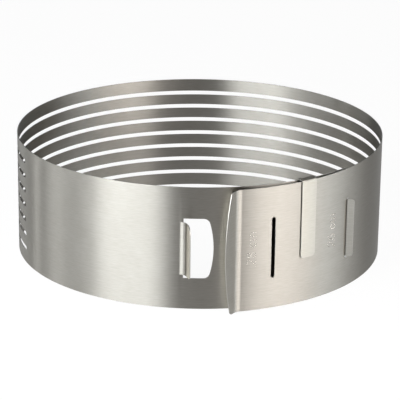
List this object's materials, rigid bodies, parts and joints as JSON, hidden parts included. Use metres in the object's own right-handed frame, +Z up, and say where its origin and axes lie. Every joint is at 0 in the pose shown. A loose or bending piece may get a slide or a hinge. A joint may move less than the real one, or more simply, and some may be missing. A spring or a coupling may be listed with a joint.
{
  "type": "adjustable cake leveler",
  "caption": "Adjustable steel ring with level slots that guide a long knife through a cake, a latched overlap and a slip-on clip.",
  "frame": {"origin": "on the ring's axis, at the height of its lower edge", "axes": "+Z up along the ring's axis, -Y to the front with the finger window, +X to the right, towards the overlap"},
  "size_m": [0.26, 0.276, 0.0864],
  "materials": {
    "band_steel": "fine brushed finish along the strip",
    "clip_steel": "finely brushed, brighter than the band"
  },
  "bodies": {
    "back": {"back_rails": "band_steel"},
    "right": {"right_rails": "band_steel"},
    "outer_end": {"outer_plate": "band_steel", "pull_flange": "band_steel"},
    "left": {"left_rails": "band_steel"},
    "front": {"front_plate": "band_steel", "finger_tab": "band_steel"},
    "inner_end": {"tongue": "band_steel"},
    "latch": {"latch_leaf": "band_steel", "latch_tab": "band_steel"},
    "clip": {"clip": "clip_steel"}
  },
  "joints": [
    {"name": "ring_size", "type": "hinge", "parent": "back", "child": "right", "pos_m": [0.05045, 0.11981, 0], "axis": [0, 0, 1], "range_deg": [0, 4.72], "deforming": ["latch_leaf", "latch_tab"]},
    {"name": "outer_end_flex", "type": "hinge", "parent": "right", "child": "outer_end", "pos_m": [0.13, 0, 0], "axis": [0, 0, 1], "range_deg": [0, 4.8]},
    {"name": "left_flex", "type": "hinge", "parent": "back", "child": "left", "pos_m": [-0.09085, 0.09299, 0], "axis": [0, 0, -1], "range_deg": [0, 4.8]},
    {"name": "front_flex", "type": "hinge", "parent": "left", "child": "front", "pos_m": [-0.12095, -0.04764, 0], "axis": [0, 0, -1], "range_deg": [0, 5.95]},
    {"name": "inner_end_flex", "type": "hinge", "parent": "front", "child": "inner_end", "pos_m": [0.02481, -0.12761, 0], "axis": [0, 0, -1], "range_deg": [0, 5.5]},
    {"name": "latch_release", "type": "hinge", "parent": "inner_end", "child": "latch", "pos_m": [0.07944, -0.10215, 0], "axis": [0, 0, 1], "range_deg": [0, 12], "stiffness_Nm_per_rad": 0.3},
    {"name": "clip_lift", "type": "slide", "parent": "outer_end", "child": "clip", "axis": [0, 0, 1], "range_m": [0, 0.065]}
  ],
  "couplings": [
    {"joint": "outer_end_flex", "follows": "ring_size", "ratio": 1},
    {"joint": "left_flex", "follows": "ring_size", "ratio": 1},
    {"joint": "front_flex", "follows": "ring_size", "ratio": 1.25},
    {"joint": "inner_end_flex", "follows": "ring_size", "ratio": 1.15}
  ]
}
